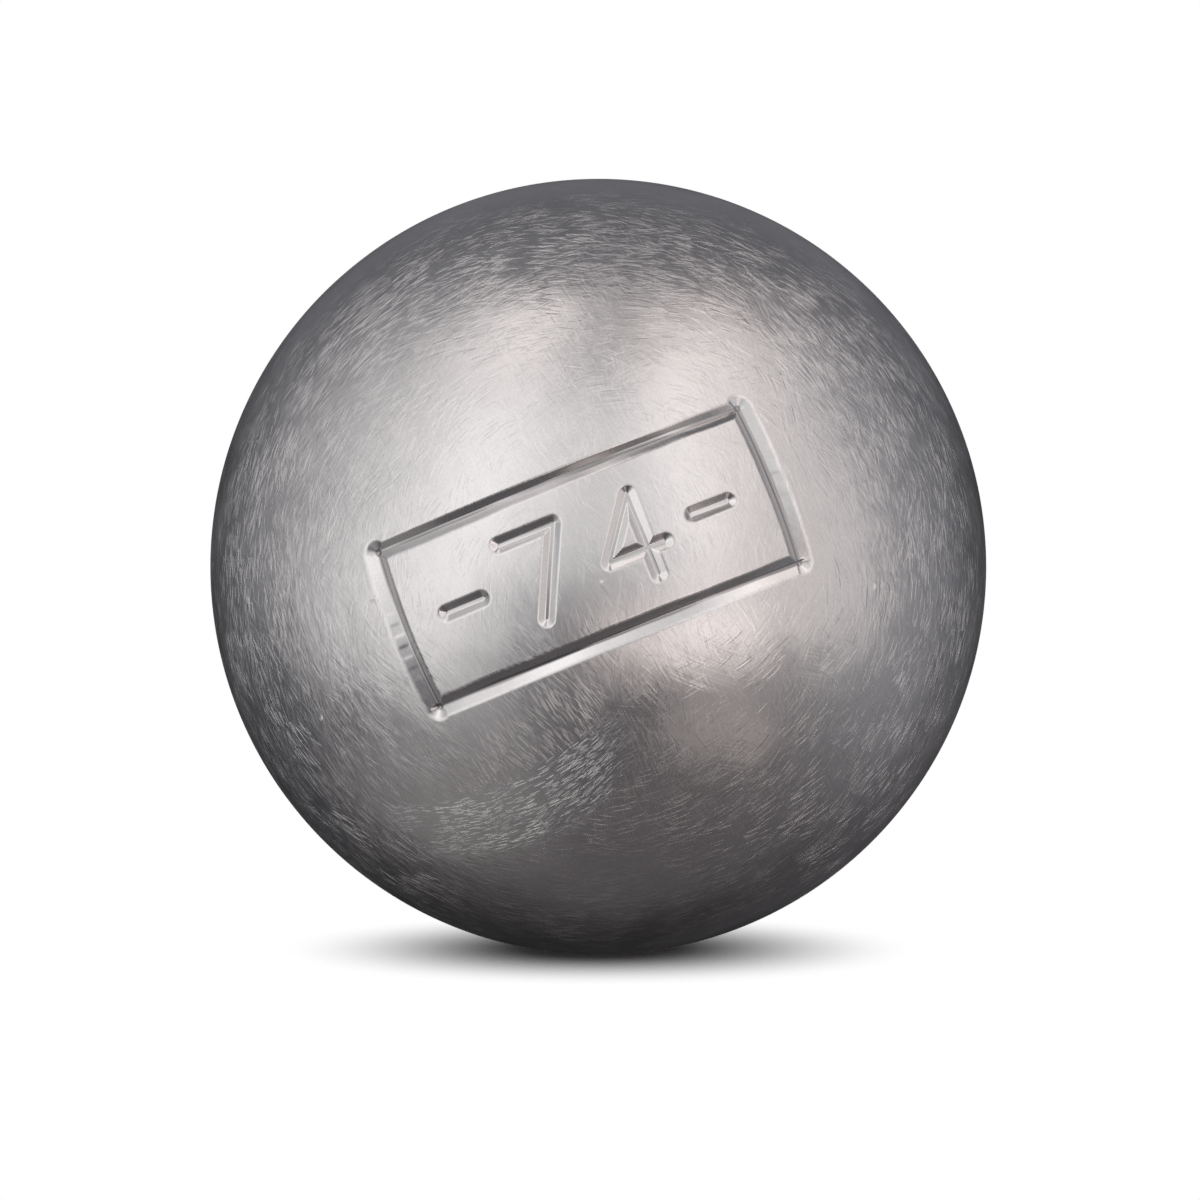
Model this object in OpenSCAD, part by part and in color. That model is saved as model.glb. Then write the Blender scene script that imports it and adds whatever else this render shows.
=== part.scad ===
// Petanque boule: two half shells of steel, joined by one weld bead that is ground
// flush outside, with a frame engraved into the front shell.
// The origin is the centre of the ball. +Z is up and -Y is the front, where the frame is.
// The joint between the shells lies in the XZ plane.

/* [Ball] */
// Outside diameter of the ball
ball_d = 74; // [70.5:0.5:80]
// Thickness of the wall of both half shells
wall_t = 6.15; // [5:0.05:8]

/* [Weld] */
// Gap between the square root faces of the two rims
root_gap = 1; // [0.6:0.1:1.6]
// Height of the square root face, from the inside wall outwards
root_face = 1.5; // [0.8:0.1:2.5]
// Slope of the bevel on each rim, away from the joint plane
bevel_angle = 30; // [20:1:40]
// Width of the bead that came through to the inside
root_bead_w = 3.2; // [2.4:0.1:5]
// Height of that inner bead above the inside wall
root_bead_h = 0.7; // [0.4:0.05:1.2]

/* [Engraved frame] */
// Angle of the frame's middle above the front pole
frame_lift = 7; // [0:0.5:15]
// Angle of the frame's middle to the right of the front pole
frame_turn = -1.6; // [-10:0.2:10]
// Angle by which the frame's right end is raised
frame_tilt = 22; // [-45:1:45]
// Length of the frame, along the ball, between the middles of its end grooves
frame_w = 37; // [30:0.5:46]
// Height of the frame, along the ball, between the middles of its long grooves
frame_h = 15; // [11:0.5:20]
// Depth of the frame's grooves
groove_d = 0.5; // [0.3:0.05:1.2]
// Extra depth where the cutter plunges in at each corner
plunge_d = 0.1; // [0.08:0.01:0.3]
// Width of the flat on the engraving cutter's tip
cutter_tip_w = 0.2; // [0.1:0.02:0.5]
// Angle between the two sides of the cutter
cutter_angle = 120; // [60:5:125]

/* [Hidden] */
$fn = 96;

ball_r = ball_d / 2;
cavity_r = ball_r - wall_t;
// Any cut runs past the surface that it opens into by this much
overrun = 0.4;
quarter_turn = 90;
full_turn = 360;

// The frame's half length and half height, as angles at the ball's centre
frame_half_along = arc_angle(frame_w) / 2;
frame_half_up = arc_angle(frame_h) / 2;

// Angle at the ball's centre that a distance along its surface takes up
function arc_angle(length) = length / (PI * ball_d) * full_turn;

// Distance from the cutter's axis to its side, at a height above its tip
function cutter_reach(height) = cutter_tip_w / 2 + height * tan(cutter_angle / 2);

// Section of the groove between the rims, which the weld fills, from the cavity
// outwards: x is the distance from the ball's axis, y that from the joint plane
module weld_prep() {
    root_x = cavity_r - root_bead_h / 2;
    bevel_x = cavity_r + root_face;
    mouth_x = ball_r + overrun;
    half_gap = root_gap / 2;
    half_mouth = half_gap + (mouth_x - bevel_x) * tan(bevel_angle);
    polygon([
        [root_x, -half_gap],
        [bevel_x, -half_gap],
        [mouth_x, -half_mouth],
        [mouth_x, half_mouth],
        [bevel_x, half_gap],
        [root_x, half_gap]
    ]);
}

// Section of one shell: a quarter of the wall, less the weld's share of its rim
module shell_section() {
    difference() {
        intersection() {
            circle(ball_r);
            square([ball_d, ball_d]);
        }
        circle(cavity_r);
        weld_prep();
    }
}

// One shell with its pole on +Z and its rim at the joint plane
module half_shell() {
    rotate_extrude() shell_section();
}

// Section of the bead that sagged through: a crown that sits on the inside wall
module root_bead_section() {
    crown_r = (pow(root_bead_w / 2, 2) + pow(root_bead_h, 2)) / (2 * root_bead_h);
    intersection() {
        translate([cavity_r - root_bead_h + crown_r, 0]) circle(crown_r);
        circle(cavity_r);
    }
}

// Section that the cutter leaves at a depth, its middle at a polar angle from +Z
module groove_section(polar, depth) {
    half_mouth = cutter_reach(depth + overrun);
    rotate(quarter_turn - polar) translate([ball_r, 0]) polygon([
        [-depth, -cutter_tip_w / 2],
        [overrun, -half_mouth],
        [overrun, half_mouth],
        [-depth, cutter_tip_w / 2]
    ]);
}

// A groove round the local +Z axis at a polar angle, centred on the local -Y direction
module groove_arc(polar, half_sweep, depth) {
    rotate([0, 0, -quarter_turn - half_sweep]) rotate_extrude(angle = 2 * half_sweep)
        groove_section(polar, depth);
}

// The pit that the cutter leaves where it goes straight in along +Z
module cutter_pit(depth) {
    translate([0, 0, ball_r - depth]) cylinder(
        h = depth + overrun,
        r1 = cutter_tip_w / 2,
        r2 = cutter_reach(depth + overrun)
    );
}

// The four pits at the frame's corners, with the frame's middle on -Y
module corner_pits() {
    for (along = [-frame_half_along, frame_half_along], up = [-frame_half_up, frame_half_up])
        rotate([0, 0, along]) rotate([quarter_turn - up, 0, 0])
            cutter_pit(groove_d + plunge_d);
}

// The long grooves are circles of latitude
module long_grooves() {
    for (up = [-frame_half_up, frame_half_up])
        groove_arc(quarter_turn - up, frame_half_along, groove_d);
}

// The end grooves are meridians, so each meets the long grooves at a right angle
module end_grooves() {
    for (along = [-frame_half_along, frame_half_along])
        rotate([0, 0, along]) rotate([0, quarter_turn, 0])
            groove_arc(quarter_turn, frame_half_up, groove_d);
}

// Moves what is centred on -Y to the frame's place on the finished ball
module at_frame() {
    rotate([0, 0, frame_turn]) rotate([-frame_lift, 0, 0]) rotate([0, -frame_tilt, 0])
        children();
}

// The pits come first, so that the grooves run out into them
module front_half_shell() {
    color("#a3a1a0") difference() {
        difference() {
            difference() {
                rotate([quarter_turn, 0, 0]) half_shell();
                at_frame() corner_pits();
            }
            at_frame() long_grooves();
        }
        at_frame() end_grooves();
    }
}

module rear_half_shell() {
    color("#a3a1a0") rotate([-quarter_turn, 0, 0]) half_shell();
}

module weld_bead() {
    color("#9c9a99") rotate([quarter_turn, 0, 0]) rotate_extrude() union() {
        intersection() {
            circle(ball_r);
            weld_prep();
        }
        root_bead_section();
    }
}

front_half_shell();
rear_half_shell();
weld_bead();
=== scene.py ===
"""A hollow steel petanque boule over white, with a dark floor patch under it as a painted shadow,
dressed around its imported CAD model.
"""
import math

import bmesh
import bpy
import numpy as np
from mathutils import Matrix, Vector


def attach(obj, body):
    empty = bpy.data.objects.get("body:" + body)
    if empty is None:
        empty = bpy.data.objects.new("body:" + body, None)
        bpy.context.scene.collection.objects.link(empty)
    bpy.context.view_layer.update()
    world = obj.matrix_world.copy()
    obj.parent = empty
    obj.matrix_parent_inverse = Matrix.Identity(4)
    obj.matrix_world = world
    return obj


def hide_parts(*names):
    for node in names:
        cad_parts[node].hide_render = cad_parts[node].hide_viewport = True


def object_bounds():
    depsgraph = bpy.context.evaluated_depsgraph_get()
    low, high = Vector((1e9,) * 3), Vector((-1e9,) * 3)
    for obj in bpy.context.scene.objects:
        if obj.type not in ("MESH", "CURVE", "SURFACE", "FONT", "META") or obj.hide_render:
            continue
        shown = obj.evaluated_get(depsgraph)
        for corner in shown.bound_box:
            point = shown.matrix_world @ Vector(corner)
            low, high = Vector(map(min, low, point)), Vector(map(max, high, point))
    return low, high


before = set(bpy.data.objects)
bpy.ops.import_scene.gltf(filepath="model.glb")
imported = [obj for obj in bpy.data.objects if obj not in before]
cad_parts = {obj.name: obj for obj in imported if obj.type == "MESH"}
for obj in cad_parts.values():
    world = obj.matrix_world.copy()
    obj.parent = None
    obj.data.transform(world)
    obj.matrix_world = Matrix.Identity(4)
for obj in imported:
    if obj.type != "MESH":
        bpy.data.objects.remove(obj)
cad_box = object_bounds()

MM = 0.001
FULL_TURN = 2 * math.pi

# The ball and its welded joint, in millimetres, as in the CAD source. The radius is the least
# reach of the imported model, whose facets fall just short of its poles.
BALL_R = min(abs(edge) for corner in cad_box for edge in corner) / MM
WALL_T = 6.15
CAVITY_R = BALL_R - WALL_T
ROOT_GAP = 1.0
ROOT_FACE = 1.5
BEVEL_SLOPE = math.tan(math.radians(30))
ROOT_BEAD_W = 3.2
ROOT_BEAD_H = 0.7

# The engraved frame, in millimetres and degrees, as in the CAD source
FRAME_LIFT = 7.0
FRAME_TURN = -1.6
FRAME_TILT = 22.0
FRAME_W = 37.0
FRAME_H = 15.0
GROOVE_D = 0.5
PLUNGE_D = 0.1
CUTTER_TIP_W = 0.2
CUTTER_SPREAD = math.tan(math.radians(60))

# The numerals in the frame, in millimetres: sizes run between the middles of strokes
NUMERAL_H = 7.6
NUMERAL_W = 5.2
NUMERAL_PITCH = 8.6
STROKE_D = 0.45
STROKE_TIP_W = 0.34
STROKE_WALL_W = 0.62
BAR_L = 3.6
BAR_PLACE = 11.9
# Places in a numeral, as shares of its height or width: the four's crossbar and stem, and the
# seven's foot
CROSSBAR_SHARE = -0.17
STEM_SHARE = 0.2
FOOT_SHARE = -0.2

# Widths of the frame's walls: the outer wall is steeper along the top, and wider at the ends
WALL_W = GROOVE_D * CUTTER_SPREAD
TOP_WALL_W = 0.6
END_WALL_W = 1.15
# Heights over which a worn lip is rounded, outside the frame and inside it, and a groove's floor
OUTER_LIP = 0.1
INNER_LIP = 0.07
FLOOR_ROUND = 0.04
# The grooves' depth wavers along them, in a long wave and a short one that also slants upwards
LONG_WAVE_D = 0.02
LONG_WAVE_L = 2.3
SHORT_WAVE_D = 0.012
SHORT_WAVE_L = 0.9
SHORT_WAVE_UP = 1.7
# Marks of the cutter's tremble: how deep and how far apart, where along an end groove and over
# what reach, how sharp their edges are, and where the first one starts
CHATTER_D = 0.02
CHATTER_PITCH = 2.1
CHATTER_PLACE = 1.0
CHATTER_REACH = 2.6
CHATTER_EDGE = 2.5
CHATTER_START = 0.6

# Steps of the grid over the mark, in millimetres: over the frame's grooves, the numerals and
# the bars, and where nothing is cut
GROOVE_STEP = 0.11
NUMERAL_STEP = 0.12
BAR_STEP = 0.16
OPEN_STEP = 0.5
# How far the fine steps reach past a long groove, an end groove and a numeral's stroke
GROOVE_MARGIN = 0.4
END_MARGIN = 0.5
STROKE_MARGIN = 1.1
# Distance over which the slope of a cut is measured
SLOPE_STEP = 0.02
# Steps round the ball, along the outside and the inside of a shell, over the weld's crown and
# its flush outside, and between the mark and the rim
ROUND_STEPS = 320
OUTSIDE_STEPS = 90
INSIDE_STEPS = 20
CROWN_STEPS = 17
FLUSH_STEPS = 9
BORDER_STEPS = 34

# The camera: the ball's middle and outline in the photo, in pixels of its 1200
IMAGE_SIZE = 1200
PHOTO_CENTRE = (598.3, 567.0)
PHOTO_RADIUS = 388.0
LENS_MM = 135.0
SENSOR_MM = 36.0
CAMERA_RISE = math.radians(5.5)
NEAREST_SEEN = 0.01
FARTHEST_SEEN = 10


def turn(axis, degrees):
    """A rotation as a 3 by 3 array."""
    return np.array(Matrix.Rotation(math.radians(degrees), 3, axis))


# From the frame's own directions, its middle on -Y, to the finished ball
TO_BALL = turn("Z", FRAME_TURN) @ turn("X", -FRAME_LIFT) @ turn("Y", -FRAME_TILT)


def unit(v):
    """Vectors at a length of 1."""
    return v / np.linalg.norm(v, axis=-1, keepdims=True)


def mark_direction(along, up):
    """Unit directions on the ball for angles along and up the frame."""
    local = np.stack(
        [np.sin(along) * np.cos(up), -np.cos(along) * np.cos(up), np.sin(up)], axis=-1
    )
    return local @ TO_BALL.T


def mark_angles(directions):
    """The reverse of mark_direction."""
    local = directions @ TO_BALL
    return np.arctan2(local[..., 0], -local[..., 1]), np.arcsin(np.clip(local[..., 2], -1, 1))


def soft_positive(x, reach):
    """x where it is positive and 0 elsewhere, with the bend rounded over a reach either way."""
    bend = (np.clip(x, -reach, reach) + reach) ** 2 / (4 * reach)
    return np.where(x > reach, x, bend)


def cut_depth(wall, depth, lip):
    """Depth of a cut from the height of its straight wall over the lip, which is negative beyond
    the cut: the wall runs into a rounded lip above and into the floor below."""
    return depth - soft_positive(depth - soft_positive(wall, lip), FLOOR_ROUND)


def segment_distance(x, y, start, end):
    """Distance from points to a straight stroke between two points."""
    sx, sy = start
    dx, dy = end[0] - sx, end[1] - sy
    share = np.clip(((x - sx) * dx + (y - sy) * dy) / (dx * dx + dy * dy), 0, 1)
    return np.hypot(x - sx - share * dx, y - sy - share * dy)


def numeral_strokes():
    """Straight strokes of a seven, a four and a short bar on each side of them."""
    top, half_w, shift = NUMERAL_H / 2, NUMERAL_W / 2, NUMERAL_PITCH / 2
    cross = CROSSBAR_SHARE * NUMERAL_H
    stem = STEM_SHARE * NUMERAL_W
    seven = [
        ((-half_w, top), (half_w, top)),
        ((half_w, top), (FOOT_SHARE * NUMERAL_W, -top)),
    ]
    four = [
        ((stem, top), (-half_w, cross)),
        ((-half_w, cross), (half_w, cross)),
        ((stem, top), (stem, -top)),
    ]
    bar = [((-BAR_L / 2, 0), (BAR_L / 2, 0))]
    placed = []
    for strokes, place in ((seven, -shift), (four, shift), (bar, -BAR_PLACE), (bar, BAR_PLACE)):
        placed += [((a + place, b), (c + place, d)) for (a, b), (c, d) in strokes]
    return placed


STROKES = numeral_strokes()


def frame_depth(beyond_long, beyond_end, along, up):
    """Depth of the frame's grooves at distances beyond the middles of its long and its end
    grooves, positive outside the frame."""
    foot = CUTTER_TIP_W / 2
    long_wave = LONG_WAVE_D * np.sin(along / LONG_WAVE_L)
    short_wave = SHORT_WAVE_D * np.sin(along / SHORT_WAVE_L + up / SHORT_WAVE_UP)
    depth = GROOVE_D + long_wave + short_wave
    from_foot = -np.maximum(beyond_long, beyond_end) - foot
    inner_wall = depth - from_foot / CUTTER_SPREAD
    # Outside, the walls of the long and of the end grooves meet in an elliptical corner
    mouth_long = foot + np.where(up > 0, TOP_WALL_W, WALL_W)
    mouth_end = foot + END_WALL_W
    reach_long = np.maximum(beyond_long, 0) / mouth_long
    reach_end = np.maximum(beyond_end, 0) / mouth_end
    reach = np.hypot(reach_long, reach_end)
    end_share = reach_end**2 / np.maximum(reach, 1e-6) ** 2
    foot_share = foot / mouth_long * (1 - end_share) + foot / mouth_end * end_share
    # The marks are full halfway between the groove's middle and its lip and die out either way
    tremble = chatter(along, up) * 4 * reach * np.clip(1 - reach, 0, 1) * end_share
    outer_wall = depth * (1 - reach) / (1 - foot_share) + tremble
    outside = np.maximum(beyond_long, beyond_end) > 0
    return np.where(
        outside,
        cut_depth(outer_wall, depth, OUTER_LIP),
        cut_depth(inner_wall, depth, INNER_LIP),
    )


def chatter(along, up):
    """Marks that the cutter's tremble left across the outer walls of the end grooves."""
    place = up * np.sign(along)
    near = np.exp(-(((place - CHATTER_PLACE) / CHATTER_REACH) ** 2))
    wave = np.sin(FULL_TURN * up / CHATTER_PITCH + CHATTER_START)
    return CHATTER_D * near * np.tanh(CHATTER_EDGE * wave)


def mark_depth(directions):
    """Depth of the whole mark, in millimetres, in each of the given directions."""
    along, up = mark_angles(directions)
    half_along, half_up = FRAME_W / 2 / BALL_R, FRAME_H / 2 / BALL_R
    beyond_long = BALL_R * (np.abs(up) - half_up)
    # Kept under a quarter turn, past which the sine falls again
    from_end = np.clip(np.abs(along) - half_along, -1.5, 1.5)
    beyond_end = BALL_R * np.arcsin(np.cos(up) * np.sin(from_end))
    x, y = BALL_R * along * np.cos(up), BALL_R * up
    frame_cut = frame_depth(beyond_long, beyond_end, x, y)
    to_corner = np.hypot(beyond_long, beyond_end)
    pit_d = GROOVE_D + PLUNGE_D
    pit_wall = pit_d - (to_corner - CUTTER_TIP_W / 2) / CUTTER_SPREAD
    pit_cut = cut_depth(pit_wall, pit_d, OUTER_LIP)
    to_stroke = np.min([segment_distance(x, y, a, b) for a, b in STROKES], axis=0)
    stroke_wall = STROKE_D * (1 - (to_stroke - STROKE_TIP_W / 2) / STROKE_WALL_W)
    stroke_cut = cut_depth(stroke_wall, STROKE_D, INNER_LIP)
    return np.maximum.reduce([frame_cut, pit_cut, stroke_cut])


def spread(*stretches):
    """Places along a line, from stretches of (start, end, step), with both ends kept."""
    places = [
        np.linspace(start, end, max(2, math.ceil(abs(end - start) / step) + 1))
        for start, end, step in stretches
    ]
    return np.unique(np.round(np.concatenate(places), 6))


def mark_grid():
    """Lines of a grid over the mark, in millimetres, close together where something is cut."""
    reach = WALL_W + CUTTER_TIP_W / 2 + GROOVE_MARGIN
    end_reach = END_WALL_W + CUTTER_TIP_W / 2 + END_MARGIN
    half_w, half_h = FRAME_W / 2, FRAME_H / 2
    strokes_x = NUMERAL_PITCH / 2 + NUMERAL_W / 2 + STROKE_MARGIN
    strokes_y = NUMERAL_H / 2 + STROKE_MARGIN
    bar_in = BAR_PLACE - BAR_L / 2 - STROKE_MARGIN
    bar_out = BAR_PLACE + BAR_L / 2 + STROKE_MARGIN
    right = [
        (strokes_x, bar_in, OPEN_STEP),
        (bar_in, bar_out, BAR_STEP),
        (bar_out, half_w - reach, OPEN_STEP),
        (half_w - reach, half_w + end_reach, GROOVE_STEP),
    ]
    left = [(-end, -start, step) for start, end, step in right]
    across = spread(*left, (-strokes_x, strokes_x, NUMERAL_STEP), *right)
    upper = [
        (strokes_y, half_h - reach, OPEN_STEP),
        (half_h - reach, half_h + reach, GROOVE_STEP),
    ]
    lower = [(-end, -start, step) for start, end, step in upper]
    upright = spread(*lower, (-strokes_y, strokes_y, NUMERAL_STEP), *upper)
    return across, upright


class Surface:
    """Points, faces and a normal for every corner of every face, gathered patch by patch."""

    def __init__(self):
        self.points = []
        self.faces = []
        self.normals = []
        self.cut = []
        self.count = 0

    def add_points(self, points, cut=None):
        """Returns the numbers of the new points; cut is how deeply each is engraved."""
        first = self.count
        self.points.append(points)
        self.cut.append(np.zeros(len(points)) if cut is None else cut)
        self.count += len(points)
        return np.arange(first, first + len(points))

    def add_faces(self, corners, normals):
        """corners is an array of point numbers, a row for each face; normals has one for each."""
        self.faces.append(corners)
        self.normals.append(normals)

    def build(self, name):
        """The finished object, in metres."""
        points = np.concatenate(self.points)
        counts = np.concatenate([np.full(len(f), f.shape[1]) for f in self.faces])
        corners = np.concatenate([f.ravel() for f in self.faces])
        normals = np.concatenate([n.reshape(-1, 3) for n in self.normals])
        mesh = bpy.data.meshes.new(name)
        mesh.vertices.add(len(points))
        mesh.vertices.foreach_set("co", (points * MM).astype(np.float32).ravel())
        mesh.loops.add(len(corners))
        mesh.loops.foreach_set("vertex_index", corners.astype(np.int32))
        mesh.polygons.add(len(counts))
        starts = np.concatenate([[0], np.cumsum(counts)[:-1]])
        mesh.polygons.foreach_set("loop_start", starts.astype(np.int32))
        mesh.polygons.foreach_set("use_smooth", np.ones(len(counts), bool))
        mesh.update(calc_edges=True)
        engraved = mesh.attributes.new("engraved", "FLOAT", "POINT")
        engraved.data.foreach_set("value", np.concatenate(self.cut).astype(np.float32))
        mesh.normals_split_custom_set(normals.astype(np.float32))
        piece = bpy.data.objects.new(name, mesh)
        bpy.context.scene.collection.objects.link(piece)
        return piece


def ring_faces(inner, outer):
    """Quads between two closed rings of the same number of points."""
    return np.stack([inner, outer, np.roll(outer, -1), np.roll(inner, -1)], axis=1)


def grid_faces(rows, columns):
    """Quads of a grid whose points are numbered row by row."""
    index = np.arange(rows * columns).reshape(rows, columns)
    return np.stack(
        [index[:-1, :-1], index[:-1, 1:], index[1:, 1:], index[1:, :-1]], axis=-1
    ).reshape(-1, 4)


def border(rows, columns):
    """Point numbers round the edge of a grid, counter-clockwise seen from outside."""
    index = np.arange(rows * columns).reshape(rows, columns)
    return np.concatenate(
        [index[0, :-1], index[:-1, -1], index[-1, :0:-1], index[:0:-1, 0]]
    )


def cut_surface(directions):
    """Points on the engraved ball, their normals and how deeply they are cut."""
    step = SLOPE_STEP / BALL_R
    side = unit(np.cross(directions, [0.0, 0.0, 1.0]))
    rise = np.cross(side, directions)
    depth = mark_depth(directions)
    slope = np.zeros_like(directions)
    for tangent in (side, rise):
        ahead = mark_depth(unit(directions + step * tangent))
        behind = mark_depth(unit(directions - step * tangent))
        slope += ((ahead - behind) / (2 * step * BALL_R))[..., None] * tangent
    return directions * (BALL_R - depth)[..., None], unit(directions + slope), depth


def shell_profile(facing):
    """The unseen part of a shell's section, from the rim's outer edge to the inside pole: lists
    of (distance from the Y axis, y) with one list for each smooth stretch."""
    bevel_r = CAVITY_R + ROOT_FACE
    edge_r, edge_y = rim_edge()
    root_y = ROOT_GAP / 2
    inner_r = math.sqrt(CAVITY_R**2 - root_y**2)
    sweep = np.arctan2(root_y, inner_r)
    angles = np.linspace(sweep, math.pi / 2, INSIDE_STEPS)
    inside = [(CAVITY_R * math.cos(a), facing * CAVITY_R * math.sin(a)) for a in angles]
    return [
        [(edge_r, facing * edge_y), (bevel_r, facing * root_y)],
        [(bevel_r, facing * root_y), (inner_r, facing * root_y)],
        inside,
    ]


def rim_edge():
    """Where the bevel meets the outside of the ball: (distance from the Y axis, |y|)."""
    bevel_r = CAVITY_R + ROOT_FACE
    start = ROOT_GAP / 2 - bevel_r * BEVEL_SLOPE
    # Solves r^2 + (start + slope r)^2 = R^2
    a, b, c = 1 + BEVEL_SLOPE**2, 2 * start * BEVEL_SLOPE, start**2 - BALL_R**2
    r = (-b + math.sqrt(b * b - 4 * a * c)) / (2 * a)
    return r, start + BEVEL_SLOPE * r


def round_y(azimuths, place):
    """Vectors all round the Y axis from one (distance from the axis, y)."""
    reach, y = place
    flat = np.full_like(azimuths, y)
    return np.stack([reach * np.cos(azimuths), flat, reach * np.sin(azimuths)], axis=1)


def revolve(surface, ring, azimuths, stretches, flip, closing=None):
    """Carries a closed ring of points on along a profile about the Y axis. The last point of the
    profile may lie on the axis, or on a closing ring that is there already. Each stretch keeps a
    sharp edge against the next one. Returns the last ring."""
    for stretch in stretches:
        profile = np.array(stretch)
        tangents = np.gradient(profile, axis=0)
        across = unit(np.stack([tangents[:, 1], -tangents[:, 0]], axis=1))
        if flip:
            across = -across
        for k in range(1, len(profile)):
            normals = [round_y(azimuths, across[j]) for j in (k - 1, k)]
            on_axis = abs(profile[k, 0]) < 1e-6
            at_end = stretch is stretches[-1] and k == len(profile) - 1
            if on_axis:
                tip = surface.add_points(np.array([[0, profile[k, 1], 0]]))
                after = np.roll(ring, -1)
                corners = np.stack([ring, np.full_like(ring, tip[0]), after], axis=1)
                at_tip = np.tile([0, across[k, 1], 0], (len(ring), 1))
                shades = np.stack([normals[0], at_tip, np.roll(normals[0], -1, axis=0)], axis=1)
            else:
                if closing is not None and at_end:
                    new = closing
                else:
                    new = surface.add_points(round_y(azimuths, profile[k]))
                corners = ring_faces(ring, new)
                shades = np.stack(
                    [
                        normals[0],
                        normals[1],
                        np.roll(normals[1], -1, axis=0),
                        np.roll(normals[0], -1, axis=0),
                    ],
                    axis=1,
                )
                ring = new
            if flip:
                corners, shades = corners[:, ::-1], shades[:, ::-1]
            surface.add_faces(corners, shades)
    return ring


def front_shell():
    """The marked half shell: a fine grid over the mark, rings from its border to the rim, and
    the bevel, root face and inside behind them."""
    surface = Surface()
    across, upright = mark_grid()
    along, up = np.meshgrid(across / BALL_R, upright / BALL_R)
    directions = mark_direction(along, up).reshape(-1, 3)
    points, normals, depth = cut_surface(directions)
    surface.add_points(points, depth)
    quads = grid_faces(len(upright), len(across))
    surface.add_faces(quads, normals[quads])
    ring = border(len(upright), len(across))
    start = directions[ring]
    edge_r, edge_y = rim_edge()
    rim_polar = math.atan2(edge_r, edge_y)
    start_polar = np.arccos(np.clip(-start[:, 1], -1, 1))
    azimuths = np.arctan2(start[:, 2], start[:, 0])
    before = normals[ring]
    for k in range(1, BORDER_STEPS + 1):
        polar = start_polar + (rim_polar - start_polar) * k / BORDER_STEPS
        out = np.stack(
            [np.sin(polar) * np.cos(azimuths), -np.cos(polar), np.sin(polar) * np.sin(azimuths)],
            axis=1,
        )
        new = surface.add_points(out * BALL_R)
        next_before, next_out = np.roll(before, -1, axis=0), np.roll(out, -1, axis=0)
        shades = np.stack([before, out, next_out, next_before], axis=1)
        surface.add_faces(ring_faces(ring, new), shades)
        ring, before = new, out
    revolve(surface, ring, azimuths, shell_profile(-1), flip=False)
    return surface.build("front_shell_steel")


def even_azimuths():
    """Angles round the Y axis, evenly spaced."""
    return np.arange(ROUND_STEPS) * FULL_TURN / ROUND_STEPS


def rear_shell():
    """The plain half shell, turned as one closed section about the Y axis."""
    surface = Surface()
    azimuths = even_azimuths()
    edge_r, edge_y = rim_edge()
    angles = np.linspace(0, math.atan2(edge_r, edge_y), OUTSIDE_STEPS)
    outer = [(BALL_R * math.sin(a), BALL_R * math.cos(a)) for a in angles]
    tip = surface.add_points(np.array([[0, BALL_R, 0]]))
    ring = surface.add_points(round_y(azimuths, outer[1]))
    cap = np.stack([np.full(len(ring), tip[0]), np.roll(ring, -1), ring], axis=1)
    points = np.concatenate(surface.points)
    surface.add_faces(cap, unit(points[cap]))
    ring = revolve(surface, ring, azimuths, [outer[1:]], flip=True)
    revolve(surface, ring, azimuths, shell_profile(1), flip=True)
    return surface.build("rear_shell_steel")


def weld_ring():
    """The weld bead: flush outside, a V between the rims and a low crown inside."""
    surface = Surface()
    azimuths = even_azimuths()
    edge_r, edge_y = rim_edge()
    bevel_r = CAVITY_R + ROOT_FACE
    root_y = ROOT_GAP / 2
    inner_r = math.sqrt(CAVITY_R**2 - root_y**2)
    crown_y = ROOT_BEAD_W / 2
    crown_r = (crown_y**2 + ROOT_BEAD_H**2) / (2 * ROOT_BEAD_H)
    crown_x = CAVITY_R - ROOT_BEAD_H + crown_r
    crown_sweep = math.asin(crown_y / crown_r)
    crown = [
        (crown_x - crown_r * math.cos(a), crown_r * math.sin(a))
        for a in np.linspace(crown_sweep, -crown_sweep, CROWN_STEPS)
    ]
    edge_angle = math.atan2(edge_y, edge_r)
    flush = [
        (BALL_R * math.cos(a), BALL_R * math.sin(a))
        for a in np.linspace(-edge_angle, edge_angle, FLUSH_STEPS)
    ]
    stretches = [
        flush,
        [(edge_r, edge_y), (bevel_r, root_y)],
        [(bevel_r, root_y), (inner_r, root_y)],
        [(inner_r, root_y), crown[0]],
        crown,
        [crown[-1], (inner_r, -root_y)],
        [(inner_r, -root_y), (bevel_r, -root_y)],
        [(bevel_r, -root_y), (edge_r, -edge_y)],
    ]
    first = surface.add_points(round_y(azimuths, (edge_r, -edge_y)))
    revolve(surface, first, azimuths, stretches, flip=False, closing=first)
    return surface.build("weld_ring")


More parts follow.
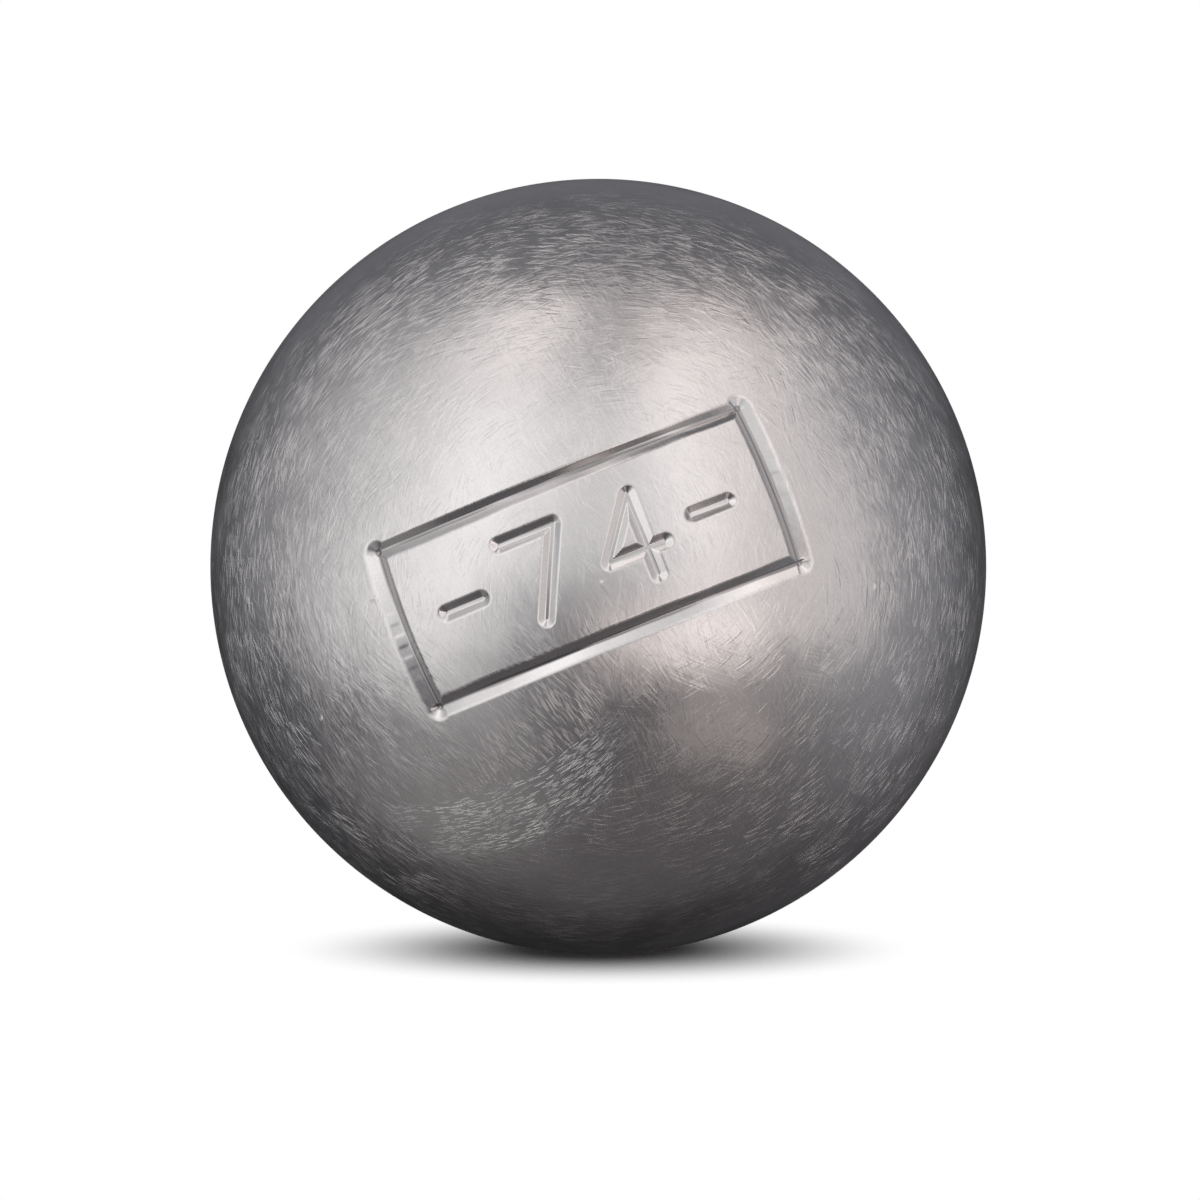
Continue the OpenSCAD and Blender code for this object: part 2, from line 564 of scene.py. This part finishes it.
class Nodes:
    """Short ways to add and link shader nodes."""

    def __init__(self, tree):
        self.tree = tree

    def add(self, kind, inputs=(), **settings):
        """A new node, with its inputs given by name or number."""
        node = self.tree.nodes.new(kind)
        for key, value in settings.items():
            setattr(node, key, value)
        for key, value in dict(inputs).items():
            self.feed(self.socket(node, key), value)
        return node

    def socket(self, node, key):
        """The node's input of that name or number that is in use."""
        if isinstance(key, int):
            return node.inputs[key]
        return next(s for s in node.inputs if s.name == key and s.enabled)

    def feed(self, socket, value):
        """Links an input to a node's output, or sets it to a constant."""
        if isinstance(value, bpy.types.NodeSocket):
            self.tree.links.new(value, socket)
        else:
            socket.default_value = value

    def math(self, operation, *values):
        """What an operation on numbers gives."""
        return self.add("ShaderNodeMath", enumerate(values), operation=operation).outputs[0]

    def vector(self, operation, *values):
        """What an operation on vectors gives: a vector, or a number for a product or a length."""
        node = self.add("ShaderNodeVectorMath", enumerate(values), operation=operation)
        scalar = operation in ("DOT_PRODUCT", "LENGTH")
        return node.outputs["Value" if scalar else "Vector"]

    def scale(self, vector, factor):
        """A vector times a number."""
        node = self.add("ShaderNodeVectorMath", operation="SCALE")
        self.feed(node.inputs[0], vector)
        self.feed(node.inputs["Scale"], factor)
        return node.outputs["Vector"]

    def ramp(self, value, low, high, to_low=0.0, to_high=1.0, smooth=True):
        """Goes from to_low to to_high as the value goes from low to high."""
        node = self.add(
            "ShaderNodeMapRange",
            {"Value": value, "From Min": low, "From Max": high, "To Min": to_low, "To Max": to_high},
            interpolation_type="SMOOTHSTEP" if smooth else "LINEAR",
        )
        return node.outputs["Result"]


def new_material(name):
    """An empty material and its nodes."""
    material = bpy.data.materials.new(name)
    material.use_nodes = True
    material.node_tree.nodes.clear()
    return material, Nodes(material.node_tree)


# Steps by which the stroke pattern is shifted from layer to layer, from patch to patch and from
# row to row, so that none repeats another
LAYER_SHIFT = (7.3, 3.1, 5.7)
PATCH_SHIFT = (91.0, 57.0, 73.0)
ROW_SHIFT = 17.0


def brush_group():
    """Node group: one layer of brush strokes. The surface is split into small patches, and each
    is filled with thin parallel strokes in a direction of its own. A stroke leans to one side,
    and some strokes are grooves that spread light sideways."""
    tree = bpy.data.node_groups.new("brush_layer", "ShaderNodeTree")
    for name, kind in (
        ("Position", "NodeSocketVector"),
        ("Normal", "NodeSocketVector"),
        ("Patch", "NodeSocketFloat"),
        ("Width", "NodeSocketFloat"),
        ("Length", "NodeSocketFloat"),
        ("Seed", "NodeSocketFloat"),
        ("Axis", "NodeSocketVector"),
        ("Rare", "NodeSocketFloat"),
    ):
        tree.interface.new_socket(name, in_out="INPUT", socket_type=kind)
    tree.interface.new_socket("Lean", in_out="OUTPUT", socket_type="NodeSocketFloat")
    tree.interface.new_socket("Groove", in_out="OUTPUT", socket_type="NodeSocketFloat")
    tree.interface.new_socket("Side", in_out="OUTPUT", socket_type="NodeSocketVector")
    n = Nodes(tree)
    given = n.add("NodeGroupInput").outputs
    shifted = n.vector("ADD", given["Position"], n.scale(LAYER_SHIFT, given["Seed"]))
    in_cells = n.scale(shifted, n.math("DIVIDE", 1.0, given["Patch"]))
    cells = n.add("ShaderNodeTexVoronoi", {"Vector": in_cells, "Scale": 1.0}).outputs
    offset = n.scale(n.vector("SUBTRACT", in_cells, cells["Position"]), given["Patch"])
    random = n.vector("SUBTRACT", cells["Color"], (0.5, 0.5, 0.5))
    own_axis = n.vector("NORMALIZE", n.vector("ADD", random, given["Axis"]))
    heading = n.vector("CROSS_PRODUCT", given["Normal"], own_axis)
    tangent = n.vector("NORMALIZE", heading)
    side = n.vector("CROSS_PRODUCT", given["Normal"], tangent)
    across = n.math("DIVIDE", n.vector("DOT_PRODUCT", offset, side), given["Width"])
    along = n.math("DIVIDE", n.vector("DOT_PRODUCT", offset, tangent), given["Length"])
    across = n.math("ADD", across, n.vector("DOT_PRODUCT", random, PATCH_SHIFT))
    row = n.math("FLOOR", across)
    start = n.add("ShaderNodeTexWhiteNoise", {"W": row}, noise_dimensions="1D").outputs["Value"]
    along = n.math("ADD", along, n.math("MULTIPLY", start, ROW_SHIFT))
    which = n.add("ShaderNodeCombineXYZ", {0: row, 1: n.math("FLOOR", along)}).outputs[0]
    chances = n.add(
        "ShaderNodeTexWhiteNoise", {"Vector": which}, noise_dimensions="2D"
    ).outputs["Color"]
    first, second = n.add("ShaderNodeSeparateXYZ", {0: chances}).outputs[:2]
    # A stroke fades towards its ends and edges and the patch's edge, and strokes fade out where
    # the axis comes out of the ball, the layer's own as well as the patch's
    to_end = n.math("ABSOLUTE", n.math("SUBTRACT", n.math("FRACT", along), 0.5))
    to_edge = n.math("ABSOLUTE", n.math("SUBTRACT", n.math("FRACT", across), 0.5))
    pole = n.vector("CROSS_PRODUCT", given["Normal"], n.vector("NORMALIZE", given["Axis"]))
    fade = n.ramp(cells["Distance"], 0.5, 0.85, 1.0, 0.0)
    for part in (
        n.ramp(to_end, 0.2, 0.5, 1.0, 0.0),
        n.ramp(n.vector("LENGTH", pole), 0.25, 0.65),
        n.ramp(n.vector("LENGTH", heading), 0.15, 0.45),
        n.ramp(to_edge, 0.0, 0.5, 1.0, 0.0),
    ):
        fade = n.math("MULTIPLY", fade, part)
    # Most strokes lean little and a few lean far
    lean = n.math("MULTIPLY", n.math("SUBTRACT", first, 0.5), 2.0)
    lean = n.math("MULTIPLY", n.math("MULTIPLY", lean, lean), lean)
    out = n.add("NodeGroupOutput")
    n.feed(out.inputs["Lean"], n.math("MULTIPLY", lean, fade))
    n.feed(out.inputs["Groove"], n.math("MULTIPLY", n.ramp(second, given["Rare"], 1.0), fade))
    n.feed(out.inputs["Side"], side)
    return tree


BRUSH_LAYERS = (
    # Patch size, stroke width and stroke length in mm, the axis that the strokes tend to go
    # round, the share of strokes without a groove, how strong the grooves are, how far strokes
    # lean to either side, and how far the grooves lean away from the axis. Later layers lie over
    # earlier ones.
    (3.4, 0.13, 2.4, (1.5, 0.0, 0.9), 0.45, 0.9, 0.1, 0.0),
    (2.8, 0.11, 1.8, (1.3, 0.25, 0.5), 0.45, 0.9, 0.1, 0.0),
    (4.0, 0.19, 2.8, (0.15, 2.2, 0.1), 0.3, 1.3, 0.17, 0.0),
    (3.2, 0.13, 2.1, (-0.35, 1.9, 0.15), 0.35, 1.3, 0.19, 0.0),
    (3.6, 0.15, 2.4, (0.2, 1.8, -0.35), 0.4, 1.3, 0.18, 0.0),
    (9.0, 0.07, 6.0, (0.1, 0.1, -0.3), 0.97, 0.8, 0.1, 0.0),
)
# Two rubbed places low on the front, with coarser strokes. A place is given by the direction of
# its middle and the cosines of the angles from there at which it begins and is full.
RUBBED_SPOT = ((-0.27, -0.92, -0.31), 0.94, 0.98)
RUBBED_SPOT_LAYERS = (
    (3.4, 0.12, 2.0, (1.6, 0.6, 1.7), 0.25, 2.0, 0.15, -0.25),
    (2.7, 0.09, 1.7, (1.6, 0.6, 1.7), 0.25, 1.8, 0.15, -0.15),
)
RUBBED_BAND = ((-0.24, -0.86, -0.45), 0.92, 0.98)
# The band runs round an axis of its own, between two angles given by their cosines
BAND_AXIS = (-1.8, -2.3, 1.15)
BAND_EDGES = (0.42, 0.5, 0.58, 0.62)
RUBBED_BAND_LAYERS = (
    (2.8, 0.1, 1.3, BAND_AXIS, 0.3, 2.0, 0.1, -0.45),
    (3.6, 0.14, 1.5, BAND_AXIS, 0.35, 2.4, 0.1, -0.65),
)
# Where the ball is worn smoother underneath, and the share of the common strokes that is lost
# there and in the rubbed places
WORN = ((0.05, -0.45, -0.88), 0.82, 0.95)
WORN_LOSS = 0.5
RUBBED_LOSS = 0.65


def brush_layer(n, position, smooth, seed, values):
    """How far one layer's strokes lean, its grooves at their strength, and the direction
    across them."""
    patch, width, length, axis, rare, strength, lean, drag = values
    group = bpy.data.node_groups.get("brush_layer") or brush_group()
    layer = n.add("ShaderNodeGroup", node_tree=group)
    given = {
        "Position": position,
        "Normal": smooth,
        "Patch": patch,
        "Width": width,
        "Length": length,
        "Seed": seed + 1.0,
        "Axis": axis,
        "Rare": rare,
    }
    for key, value in given.items():
        n.feed(layer.inputs[key], value)
    tilt = n.math("MULTIPLY", layer.outputs["Lean"], lean)
    tilt = n.math("ADD", tilt, n.math("MULTIPLY", layer.outputs["Groove"], drag))
    groove = n.math("MULTIPLY", layer.outputs["Groove"], strength)
    return tilt, groove, layer.outputs["Side"]


def near_direction(n, smooth, place):
    """1 round a direction on the ball and 0 away from it."""
    middle, low, high = place
    return n.ramp(n.vector("DOT_PRODUCT", smooth, Vector(middle).normalized()), low, high)


def rubbed_band(n, smooth):
    """1 in the rubbed band and 0 elsewhere."""
    low, full, fade, high = BAND_EDGES
    round_axis = n.vector("DOT_PRODUCT", smooth, Vector(BAND_AXIS).normalized())
    rising, falling = n.ramp(round_axis, low, full), n.ramp(round_axis, fade, high, 1.0, 0.0)
    band = n.math("MULTIPLY", rising, falling)
    return n.math("MULTIPLY", band, near_direction(n, smooth, RUBBED_BAND))


def brushed(n, position, smooth):
    """All the brush layers together: how the strokes tilt the surface, how much of a groove
    there is, and the direction across it."""
    spot, band = near_direction(n, smooth, RUBBED_SPOT), rubbed_band(n, smooth)
    # The common strokes are fainter where the ball is rubbed or worn and towards its ground weld
    from_weld = n.math("ABSOLUTE", n.vector("DOT_PRODUCT", smooth, (0.0, 1.0, 0.0)))
    common = n.ramp(from_weld, 0.15, 0.5, 0.4, 1.0)
    worn, rubbed = near_direction(n, smooth, WORN), n.math("MAXIMUM", spot, band)
    for place, loss in ((worn, WORN_LOSS), (rubbed, RUBBED_LOSS)):
        left = n.math("SUBTRACT", 1.0, n.math("MULTIPLY", place, loss))
        common = n.math("MULTIPLY", common, left)
    layers = [(values, common) for values in BRUSH_LAYERS]
    spot = n.math("MULTIPLY", spot, n.math("SUBTRACT", 1.0, band))
    layers += [(values, spot) for values in RUBBED_SPOT_LAYERS]
    layers += [(values, band) for values in RUBBED_BAND_LAYERS]
    tilt, groove, side = None, None, None
    for seed, (values, share) in enumerate(layers):
        lean, cut, across = brush_layer(n, position, smooth, seed, values)
        part = n.scale(across, n.math("MULTIPLY", lean, share))
        cut = n.math("MULTIPLY", cut, share)
        if tilt is None:
            tilt, groove, side = part, cut, across
            continue
        tilt = n.vector("ADD", tilt, part)
        # A direction and its opposite stroke alike, so the nearer of the two is mixed in
        facing = n.math("SIGN", n.vector("DOT_PRODUCT", side, across))
        across = n.scale(across, facing)
        over = n.add("ShaderNodeMix", {"Factor": cut, "A": side, "B": across}, data_type="VECTOR")
        side = next(s for s in over.outputs if s.enabled)
        groove = n.math("MAXIMUM", groove, cut)
    return tilt, groove, side


# Small nicks, sizes in mm: the size of the cells that hold one at most and the share of cells
# that do, the radius of a nick, the scale per mm of the noise that bends it out of round, how
# far its bottom tilts and how much its colour is brightened as a painted glint
NICK_CELL = 5.0
NICK_SHARE = 0.3
NICK_R = 0.42
NICK_BEND_SCALE = 1.3
NICK_LEAN = 0.4
NICK_PAINTED_GLINT = 0.3


def nicks(n, position):
    """A few small nicks scattered over the ball: 1 in a nick and 0 beside it, and a direction in
    which its bottom faces."""
    noise = {"Vector": position, "Scale": NICK_BEND_SCALE, "Detail": 1.0}
    bent = n.vector("ADD", position, n.add("ShaderNodeTexNoise", noise).outputs["Color"])
    in_cells = n.scale(bent, 1 / NICK_CELL)
    cells = n.add("ShaderNodeTexVoronoi", {"Vector": in_cells, "Scale": 1.0}).outputs
    inside = n.ramp(cells["Distance"], 0.3 * NICK_R / NICK_CELL, NICK_R / NICK_CELL, 1.0, 0.0)
    chance = n.add("ShaderNodeSeparateXYZ", {0: cells["Color"]}).outputs[0]
    chosen = n.math("LESS_THAN", chance, NICK_SHARE)
    facing = n.vector("SUBTRACT", cells["Color"], (0.5, 0.5, 0.5))
    return n.math("MULTIPLY", inside, chosen), facing


# Size of the shallow waves that grinding left, in mm, and how far they tilt the surface
WAVE_SIZE = 3.5
WAVE_LEAN = 0.06


def waves(n, position):
    """Directions in which the ground surface tilts a little, at random."""
    noise = n.add("ShaderNodeTexNoise", {"Vector": position, "Scale": 1 / WAVE_SIZE, "Detail": 1.0})
    return n.vector("SUBTRACT", noise.outputs["Color"], (0.5, 0.5, 0.5))


# Colours of the bare steel, of the shells and of the weld
SHELL_TINT = (0.58, 0.57, 0.565)
WELD_TINT = (0.56, 0.55, 0.545)
# Roughness of the bare steel, from its smoother to its duller patches, what a brushed groove
# adds to it, and what is taken off where something is cut
SMOOTH_ROUGH = 0.27
DULL_ROUGH = 0.31
GROOVE_ROUGH = 0.18
CUT_POLISH = 0.08
# How far the colour varies from patch to patch and from grain to grain, how much brighter a brushed
# groove's colour is made as a painted glint, and how much darker the bottom of a cut is made, partly
# as dirt and partly as painted shade
PATCH_SHADE = 0.03
GRAIN_SHADE = 0.05
GROOVE_PAINTED_GLINT = 0.14
DIRT_AND_PAINTED_SHADE = 0.5
# Scales of the patches and of the grain, per millimetre
PATCH_SCALE = 0.12
GRAIN_SCALE = 5.0
# The most that a groove stretches its reflections, and the share of the brushing that is left
# in a cut
MOST_STRETCH = 0.95
CUT_BRUSHING = 0.15


def steel_roughness(n, patches, groove, cut):
    """Dull in patches and in brushed grooves, and smoother where something is cut."""
    rough = n.ramp(patches, 0.3, 0.7, SMOOTH_ROUGH, DULL_ROUGH)
    rough = n.math("ADD", rough, n.math("MULTIPLY", groove, GROOVE_ROUGH))
    return n.math("SUBTRACT", rough, n.ramp(cut, 0.03, 0.15, 0.0, CUT_POLISH))


def steel_shade(n, position, patches, groove, nick, cut):
    """Brightness of the colour, about 1. Brushed grooves and nicks are brightened as painted glints,
    and the bottom of a cut is darkened, partly as dirt and partly as painted shade.
    """
    noise = n.add("ShaderNodeTexNoise", {"Vector": position, "Scale": GRAIN_SCALE, "Detail": 1.0})
    grain = n.ramp(noise.outputs["Fac"], 0.2, 0.8, -GRAIN_SHADE, GRAIN_SHADE, smooth=False)
    shade = n.ramp(patches, 0.2, 0.8, 1 - PATCH_SHADE, 1 + PATCH_SHADE)
    # Painted glint: brushed grooves get a brighter colour, so that the strokes glint brighter
    shade = n.math("ADD", shade, n.math("MULTIPLY", groove, GROOVE_PAINTED_GLINT))
    shade = n.math("ADD", shade, grain)
    # Painted glint: nicks get a brighter colour
    shade = n.math("ADD", shade, n.math("MULTIPLY", nick, NICK_PAINTED_GLINT))
    # The deepest part of the engraved grooves is darkened, partly as dirt and partly as painted
    # shade in the cut
    return n.math("MULTIPLY", shade, n.ramp(cut, 0.42, 0.5, 1.0, DIRT_AND_PAINTED_SHADE))


def steel(name, tint):
    """Steel brushed in short random strokes; what is cut into it stays smoother."""
    material, n = new_material(name)
    position = n.scale(n.add("ShaderNodeTexCoord").outputs["Object"], 1 / MM)
    normal = n.add("ShaderNodeNewGeometry").outputs["Normal"]
    cut = n.add("ShaderNodeAttribute", attribute_name="engraved").outputs["Fac"]
    on_ball = n.ramp(cut, 0.02, 0.12, 1.0, CUT_BRUSHING)
    tilt, groove, side = brushed(n, position, n.vector("NORMALIZE", position))
    groove = n.math("MULTIPLY", groove, on_ball)
    nick, facing = nicks(n, position)
    nick = n.math("MULTIPLY", nick, on_ball)
    nick_tilt = n.scale(facing, n.math("MULTIPLY", nick, NICK_LEAN))
    turned = n.vector("ADD", n.scale(tilt, on_ball), nick_tilt)
    turned = n.vector("ADD", turned, n.scale(waves(n, position), WAVE_LEAN))
    turned = n.vector("NORMALIZE", n.vector("ADD", normal, turned))
    patches = n.add(
        "ShaderNodeTexNoise",
        {"Vector": position, "Scale": PATCH_SCALE, "Detail": 3.0, "Roughness": 0.55},
    ).outputs["Fac"]
    rough = steel_roughness(n, patches, groove, cut)
    shade = steel_shade(n, position, patches, groove, nick, cut)
    shader = n.add(
        "ShaderNodeBsdfPrincipled",
        {
            "Base Color": n.scale(tint, shade),
            "Metallic": 1.0,
            "Roughness": rough,
            "Normal": turned,
            "Anisotropic": n.math("MINIMUM", groove, MOST_STRETCH),
            "Tangent": side,
        },
    )
    n.add("ShaderNodeOutputMaterial", {"Surface": shader.outputs[0]})
    return material


def seen_directly(n):
    """1 for what the camera sees directly, or through or in a glossy surface."""
    path = n.add("ShaderNodeLightPath").outputs
    direct = n.math("MAXIMUM", path["Is Camera Ray"], path["Is Glossy Ray"])
    return n.math("MAXIMUM", direct, path["Is Transmission Ray"])


# The dim room outside the tent, the tent's radius in metres, and the half angle of its opening
ROOM_LIGHT = 0.12
TENT_R = 1.6
OPENING = math.radians(10)
# Straight away from the camera, where the tent is open
BACKWARDS = (0.0, math.cos(CAMERA_RISE), -math.sin(CAMERA_RISE))


def white_world():
    """Plain white all round where it is seen, and a dim room where it only lights."""
    world = bpy.data.worlds.new("white_room")
    bpy.context.scene.world = world
    world.use_nodes = True
    world.node_tree.nodes.clear()
    n = Nodes(world.node_tree)
    level = n.ramp(seen_directly(n), 0.0, 1.0, ROOM_LIGHT, 1.0, smooth=False)
    back = n.add("ShaderNodeBackground", {"Color": (1, 1, 1, 1), "Strength": level})
    n.add("ShaderNodeOutputWorld", {"Surface": back.outputs[0]})


# Brightness of the tent's bare parts: its sides, its ceiling, the ground, and the top behind
SIDES_LIGHT = 0.13
CEILING_LIGHT = 0.04
GROUND_LIGHT = 0.13
BACK_TOP_LIGHT = 0.14

WARM = (1.0, 0.925, 0.9)
NEUTRAL = (1.0, 0.975, 0.97)
ROSE = (1.0, 0.88, 0.84)
PALE = (0.98, 0.98, 1.02)
COOL = (0.94, 0.97, 1.1)
DUSK = (1.0, 0.93, 0.97)

CLOTHS = {
    # Azimuths, elevations and the width of the soft edge, in degrees, brightness and colour.
    # Azimuth 0 is the camera's side, and positive is to the right.
    "left_wall": ((-115, -55), (0, 70), 60, 0.55, NEUTRAL),
    "left_strip": ((-70, -25), (-30, 50), 35, 0.8, NEUTRAL),
    "left_low": ((-100, -35), (-25, 5), 15, 0.4, NEUTRAL),
    "left_high": ((-85, -25), (60, 95), 40, 1.7, WARM),
    "right_wall": ((20, 85), (-20, 75), 20, 0.75, WARM),
    "right_low": ((0, 45), (-20, -10), 10, 1.9, ROSE),
    "right_high": ((30, 110), (50, 80), 30, 0.55, ROSE),
    "front": ((-45, 40), (0, 60), 30, 0.85, NEUTRAL),
    "low_left": ((-115, -25), (-70, -35), 15, 0.17, NEUTRAL),
    "low_right": ((25, 65), (-45, -35), 10, 0.7, ROSE),
    "sides": ((70, 120), (-40, 55), 30, 0.2, PALE),
    "right_back": ((95, 167), (-45, -12), 25, 0.05, DUSK),
    "front_low": ((-50, 10), (-50, -30), 15, 0.03, COOL),
}


def soft_band(n, value, band, soft):
    """1 inside a band of angles and 0 outside it, with soft edges."""
    low, high = band
    rising = n.ramp(value, low - soft / 2, low + soft / 2)
    falling = n.ramp(value, high - soft / 2, high + soft / 2, 1.0, 0.0)
    return n.math("MULTIPLY", rising, falling)


def tent_light(n):
    """The colour of the tent's cloths, seen from the ball."""
    place = n.vector("NORMALIZE", n.add("ShaderNodeNewGeometry").outputs["Position"])
    x, y, z = n.add("ShaderNodeSeparateXYZ", {0: place}).outputs
    azimuth = n.math("DEGREES", n.math("ARCTAN2", x, n.math("MULTIPLY", y, -1.0)))
    elevation = n.math("DEGREES", n.math("ARCSINE", z))
    behind = n.math("DEGREES", n.math("ARCCOSINE", n.vector("DOT_PRODUCT", place, BACKWARDS)))
    # Bare parts fade over angles above the ground and over angles from straight behind
    sides = n.math("MULTIPLY", n.ramp(elevation, -60, 0), n.ramp(behind, 10, 60))
    ceiling = n.ramp(elevation, 0, 60)
    ground = n.math("MULTIPLY", n.ramp(elevation, -20, -60), n.ramp(behind, 40, 80))
    back_top = n.math("MULTIPLY", n.ramp(elevation, 0, 20), n.ramp(behind, 25, 55, 1.0, 0.0))
    lit = [
        (sides, SIDES_LIGHT, COOL),
        (ceiling, CEILING_LIGHT, WARM),
        (ground, GROUND_LIGHT, DUSK),
        (back_top, BACK_TOP_LIGHT, COOL),
    ]
    for azimuths, elevations, soft, brightness, colour in CLOTHS.values():
        level = soft_band(n, azimuth, azimuths, soft)
        upright = soft_band(n, elevation, elevations, soft)
        lit.append((n.math("MULTIPLY", level, upright), brightness, colour))
    total = (0.0, 0.0, 0.0)
    for mask, brightness, colour in lit:
        total = n.vector("ADD", total, n.scale(colour, n.math("MULTIPLY", mask, brightness)))
    return total


def tent():
    """A round tent of lit cloths about the ball, open behind it, which the camera doesn't see."""
    bpy.ops.mesh.primitive_uv_sphere_add(segments=96, ring_count=48, radius=TENT_R)
    cloth = bpy.context.object
    cloth.name = "tent"
    backwards = Vector(BACKWARDS)
    work = bmesh.new()
    work.from_mesh(cloth.data)
    open_faces = [f for f in work.faces if f.calc_center_median().angle(backwards) < OPENING]
    bmesh.ops.delete(work, geom=open_faces, context="FACES")
    work.to_mesh(cloth.data)
    work.free()
    cloth.visible_camera = False
    material, n = new_material("tent_cloth")
    shader = n.add("ShaderNodeEmission", {"Color": tent_light(n), "Strength": 1.0})
    n.add("ShaderNodeOutputMaterial", {"Surface": shader.outputs[0]})
    cloth.data.materials.append(material)


# The floor patch, in metres: its radius, where it starts and ends to fade to either side of the
# ball, and how much faster it fades to the front and the back; and its dark grey colour. The
# patch is a painted shadow: its colour and fade set the shadow's depth and shape, and the ball's
# real shadow falls on it too.
FLOOR_R = 0.05
FLOOR_FADE_START = 0.0065
FLOOR_FADE_END = 0.031
FLOOR_SQUASH = 1.6
SHADOW_PATCH_GREY = (0.22, 0.22, 0.22, 1)


def floor():
    """A dark grey floor patch under the ball, a painted shadow, which fades into the white round it.
    """
    bpy.ops.mesh.primitive_circle_add(vertices=128, radius=FLOOR_R, fill_type="TRIFAN")
    patch = bpy.context.object
    patch.name = "floor"
    patch.location = (0, 0, -BALL_R * MM)
    material, n = new_material("painted_shadow_floor")
    place = n.add("ShaderNodeTexCoord").outputs["Object"]
    # Painted shadow: a dark grey patch, fading faster to the front and back, under the ball's real
    # shadow
    reach = n.vector("LENGTH", n.vector("MULTIPLY", place, (1.0, FLOOR_SQUASH, 1.0)))
    shadow_grey = n.add("ShaderNodeBsdfDiffuse", {"Color": SHADOW_PATCH_GREY})
    clear = n.add("ShaderNodeBsdfTransparent")
    fade = n.ramp(reach, FLOOR_FADE_START, FLOOR_FADE_END)
    mixed = n.add(
        "ShaderNodeMixShader", {0: fade, 1: shadow_grey.outputs[0], 2: clear.outputs[0]}
    )
    n.add("ShaderNodeOutputMaterial", {"Surface": mixed.outputs[0]})
    patch.data.materials.append(material)
    patch.visible_glossy = False


def camera():
    """The camera in front of the ball, a little above its middle."""
    focal = LENS_MM / SENSOR_MM * IMAGE_SIZE
    distance = BALL_R * MM / math.sin(math.atan(PHOTO_RADIUS / focal))
    data = bpy.data.cameras.new("camera")
    data.lens, data.sensor_width = LENS_MM, SENSOR_MM
    eye = bpy.data.objects.new("camera", data)
    bpy.context.scene.collection.objects.link(eye)
    away = -Vector(BACKWARDS)
    upward = Vector((0, math.sin(CAMERA_RISE), math.cos(CAMERA_RISE)))
    right = (IMAGE_SIZE / 2 - PHOTO_CENTRE[0]) / focal * distance
    low = (IMAGE_SIZE / 2 - PHOTO_CENTRE[1]) / focal * distance
    target = Vector((right, 0, 0)) - upward * low
    eye.location = away * distance
    eye.rotation_mode = "QUATERNION"
    eye.rotation_quaternion = (target - eye.location).to_track_quat("-Z", "Y")
    data.clip_start, data.clip_end = NEAREST_SEEN, FARTHEST_SEEN
    bpy.context.scene.camera = eye


camera()
white_world()
tent()
floor()

shell_steel = steel("brushed_steel", SHELL_TINT)
weld_steel = steel("ground_weld_steel", WELD_TINT)
for build, node_name, slot_name, finish in (
    (front_shell, "front_half_shell", "brushed_steel_shell", shell_steel),
    (rear_shell, "rear_half_shell", "brushed_steel_shell", shell_steel),
    (weld_ring, "weld_bead", "ground_weld", weld_steel),
):
    piece = build()
    piece.data.materials.append(finish)
    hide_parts(node_name)
    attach(piece, "root")

bpy.context.scene.view_settings.view_transform = "Standard"
